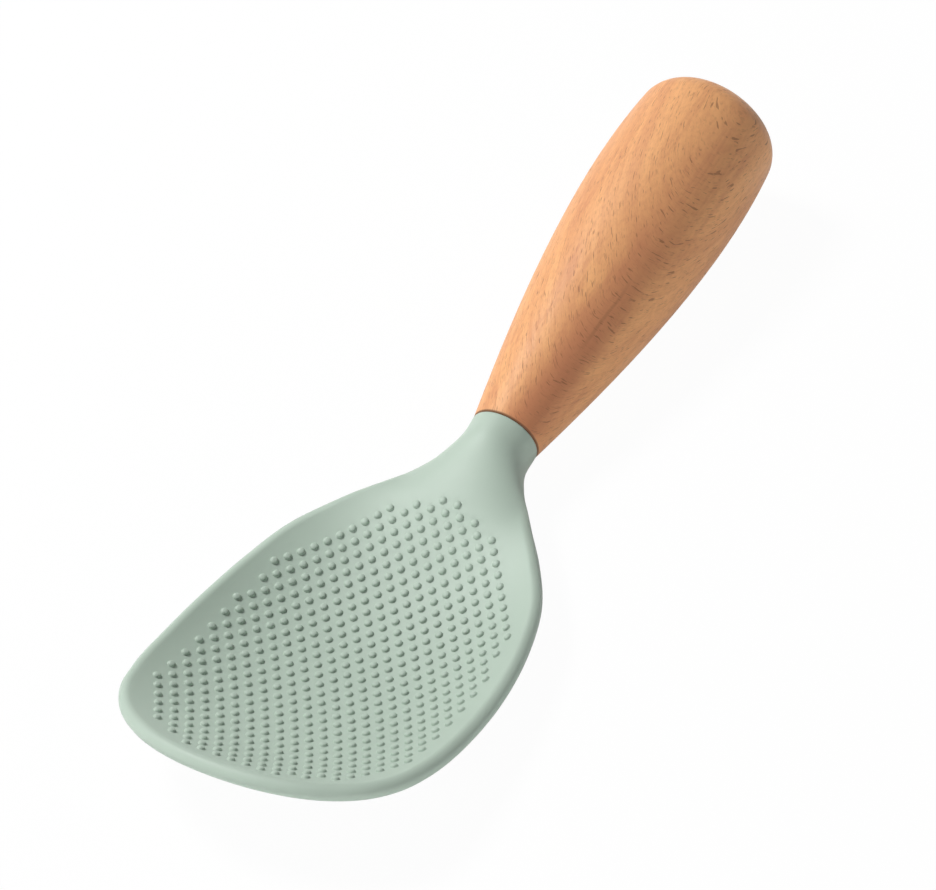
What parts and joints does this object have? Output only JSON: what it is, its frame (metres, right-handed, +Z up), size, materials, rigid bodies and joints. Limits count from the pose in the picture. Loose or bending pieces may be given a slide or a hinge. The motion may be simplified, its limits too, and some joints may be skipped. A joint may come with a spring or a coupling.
{
  "type": "rice paddle",
  "caption": "Hand rice paddle: a deep nubbed silicone scoop on a nylon core and steel tang, with a turned beech handle.",
  "frame": {"origin": "on the table plane, under the middle of the paddle's box as it lies on its bowl and butt", "axes": "+Y from the scoop's tip towards the butt, +Z up with the hollow of the scoop facing up, +X to the right seen from the tip"},
  "size_m": [0.076, 0.214, 0.0361],
  "materials": {
    "beech": "fine sanded and oiled, satin",
    "silicone": "moulded silicone, satin sage green",
    "nylon": "moulded nylon, matte",
    "steel": "drawn rod",
    "glue": "cured epoxy"
  },
  "bodies": {
    "root": {"beech_handle": "beech", "silicone_head": "silicone", "nylon_core": "nylon", "steel_tang": "steel", "handle_glue": "glue"}
  },
  "joints": []
}
